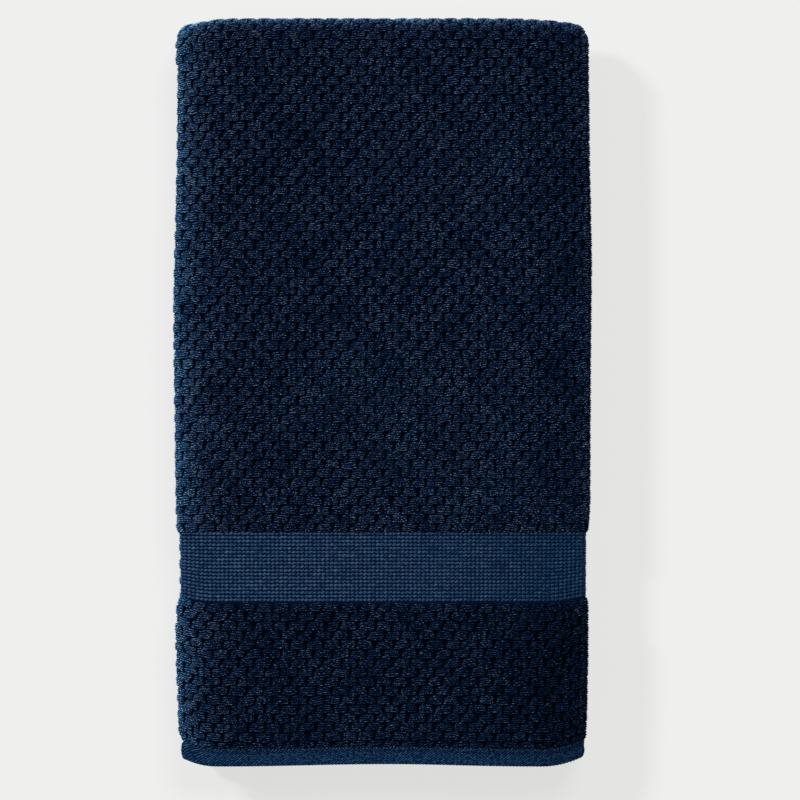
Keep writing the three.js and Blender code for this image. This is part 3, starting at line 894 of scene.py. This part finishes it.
def band_piece(name, yarn, across_range, start):
    """One float of yarn for each place of the grid, rib after rib."""
    rib_pitch = (band_end - band_start) / rib_count
    ribs_along = start + float_past_rib + (np.arange(rib_count) + 0.5) * rib_pitch
    a, b = (g.ravel() for g in np.meshgrid(np.arange(*across_range, float_pitch), ribs_along))
    a = a + chance.normal(0, 0.00006, a.shape)
    b = b + chance.normal(0, 0.00004, a.shape)
    half = np.interp(np.minimum(b, cloth_length - b), zones[:, 0], zones[:, 1]) / 2
    place, up, right, far = directions(a, b, half + float_lift)
    over = np.clip((a - leg_starts[2]) / legs[2], 0, 1)
    turned = chance.normal(np.interp(over, (0, 1), float_turns), 0.05)[:, None]
    run = right * np.cos(turned) + far * np.sin(turned)
    stretch = chance.normal(1, 0.03, (len(a), 3)) * (1, 1, float_flatness)
    tone = chance.lognormal(0, 0.10, a.shape) * (float_tone - float_painted_shade * over ** 2)
    # lighter floats are mixed greyer, a painted highlight
    fade = float_fade + 4 * float_fade_midway * over * (1 - over) + 0.3 * (tone - 1)
    fade = fade + chance.normal(0, 0.04, a.shape)
    return lay_yarn(name, yarn, place, up, run, stretch, tone, fade, band_material)


bands = [
    band_piece("band_top", band_yarn, (leg_starts[1] - 0.002, leg_starts[4] + 0.004), band_start),
    band_piece("band_bottom", band_yarn_below, (leg_starts[3], cloth_width), cloth_length - band_end),
]
bpy.data.objects.remove(band_yarn)
bpy.data.objects.remove(band_yarn_below)


# The hem
# The end of the cloth is doubled over and sewn flat. Its close twill shows as fine lines that climb to
# the right.

twill_pitch, twill_thickness = 0.0025, 0.0013
twill_lean = 1.4                   # a line goes this far to the right for each step away from the edge
twill_sink = 0.10                  # of its thickness, into the cloth
twill_past_hem = 0.0012            # it ends this far under the pile
navy_twill = (0.0112, 0.0460, 0.1190)
# the grey that fading and painted highlights mix the twill toward
faded_and_glint_twill = (0.0400, 0.0690, 0.1160)
hem_material = yarn_material("hem_yarn", navy_twill, faded_and_glint_twill, fibre_size=0.0009, fibre_contrast=0.9)


def twill_layer():
    """A tree that gives each line of the twill its round yarn."""
    tree, given, result = new_tree(
        "twill_layer", "GeometryNodeTree",
        {"Geometry": "Geometry", "Thickness": "Float", "Material": "Material"}, {"Geometry": "Geometry"},
    )
    line = add_node(tree, "GeometryNodeMeshToCurve", {0: given["Geometry"]})
    halved = add_node(tree, "ShaderNodeMath", {0: given["Thickness"], 1: 0.5}, operation="MULTIPLY")
    ring_line = add_node(
        tree, "GeometryNodeCurvePrimitiveCircle", {"Resolution": 4, "Radius": halved[0]})
    yarn = add_node(tree, "GeometryNodeCurveToMesh", {
        "Curve": line[0], "Profile Curve": ring_line[0], "Fill Caps": True,
    })
    soft = add_node(tree, "GeometryNodeSetShadeSmooth", {"Geometry": yarn[0]})
    real = add_node(tree, "GeometryNodeRealizeInstances", {"Geometry": soft[0]})
    done = add_node(tree, "GeometryNodeSetMaterial", {"Geometry": real[0], "Material": given["Material"]})
    fill_sockets(result, {"Geometry": done[0]})
    return tree


twill_tree = twill_layer()


def hem_piece(name, across_range, at_end):
    """The lines of the twill over one end of the cloth, from its edge to just under the pile."""
    along_steps = np.concatenate([
        [0.0002, 0.0005, 0.0009], np.linspace(0.0016, hem_end + twill_past_hem, 8),
    ])
    starts = np.arange(*np.interp(across_range, leg_starts, outer_across), twill_pitch)
    across = np.interp(starts[:, None] + twill_lean * along_steps[None, :], outer_across, leg_starts)
    half = np.interp(along_steps, zones[:, 0], zones[:, 1]) / 2
    along = cloth_length - along_steps if at_end else along_steps
    lines = on_fold(
        np.clip(across, 0, cloth_width), along[None, :], half[None, :] - twill_sink * twill_thickness)
    line_count, count = across.shape
    edges = [(i * count + k, i * count + k + 1) for i in range(line_count) for k in range(count - 1)]
    # painted light and shade: lighter beside the left fold, and darker before the right one
    over = (across.ravel() - leg_starts[2]) / legs[2]
    tone = np.repeat(chance.lognormal(0, 0.08, line_count), count) * (1 - 0.4 * smooth(over, 0.75, 1.0))
    tone = tone * (0.88 + 0.22 * np.exp(-np.maximum(over, 0) / 0.05))
    fade = chance.normal(0, 0.05, tone.shape)
    base = mesh_object(name + "_lines", lines.reshape(-1, 3), [], edges=edges)
    give_values(base.data, tone=tone, fade=fade)
    return grown_piece(name, base, twill_tree, {"Thickness": twill_thickness, "Material": hem_material})


hems = [
    hem_piece("hem_top", (leg_starts[1] - 0.004, leg_starts[4] + 0.004), at_end=False),
    hem_piece("hem_bottom", (leg_starts[3] + 0.002, cloth_width), at_end=True),
]


# The room light
# A plain pale floor under soft light from overhead and stronger light from the upper left, seen from
# straight above.

floor_grey, floor_glow = (0.215, 0.215, 0.2125), (0.695, 0.695, 0.687)
floor_half = 3.0
floor_material, floor_shader = new_material("pale_floor")
fill_sockets(floor_shader, {
    "Base Color": (*floor_grey, 1), "Roughness": 0.9, "Specular IOR Level": 0.0,
    "Emission Color": (*floor_glow, 1), "Emission Strength": 1.0,
})
floor_corners = [(x * floor_half, y * floor_half, 0) for x, y in ((-1, -1), (1, -1), (1, 1), (-1, 1))]
floor = mesh_object("floor", floor_corners, [(0, 1, 2, 3)], floor_material)


def studio_light(name, shines, strength, spread):
    """Even light that shines one way, as soft as its spread."""
    light = bpy.data.lights.new(name, "SUN")
    light.energy = strength
    light.angle = math.radians(spread)
    lamp = bpy.data.objects.new(name, light)
    bpy.context.collection.objects.link(lamp)
    lamp.rotation_euler = mathutils.Vector(shines).to_track_quat("-Z", "Y").to_euler()
    return lamp


studio_light("overhead", (-0.25, -0.70, -1.0), strength=1.1, spread=25)
studio_light("window", (0.684, -0.488, -0.543), strength=2.3, spread=9)
world = bpy.data.worlds.new("room")
bpy.context.scene.world = world
world.use_nodes = True
fill_sockets(world.node_tree.nodes["Background"], {"Color": (0.97, 0.98, 1.0, 1), "Strength": 0.12})
bpy.context.scene.view_settings.view_transform = "Standard"

# the camera stands where the photograph was taken from, high over the towel
picture = 800                     # its width and height, in pixels
towel_middle = (383.0, 392.5)     # in those pixels
metres_per_pixel = 0.00073
camera_height = 5.0
top_height = 0.040                # where a pixel is that large
sensor = 36
camera_data = bpy.data.cameras.new("camera")
camera_data.sensor_width = sensor
camera_data.lens = sensor * (camera_height - top_height) / (picture * metres_per_pixel)
camera = bpy.data.objects.new("camera", camera_data)
bpy.context.collection.objects.link(camera)
camera.location = (
    (picture / 2 - towel_middle[0]) * metres_per_pixel,
    (towel_middle[1] - picture / 2) * metres_per_pixel, camera_height,
)
bpy.context.scene.camera = camera
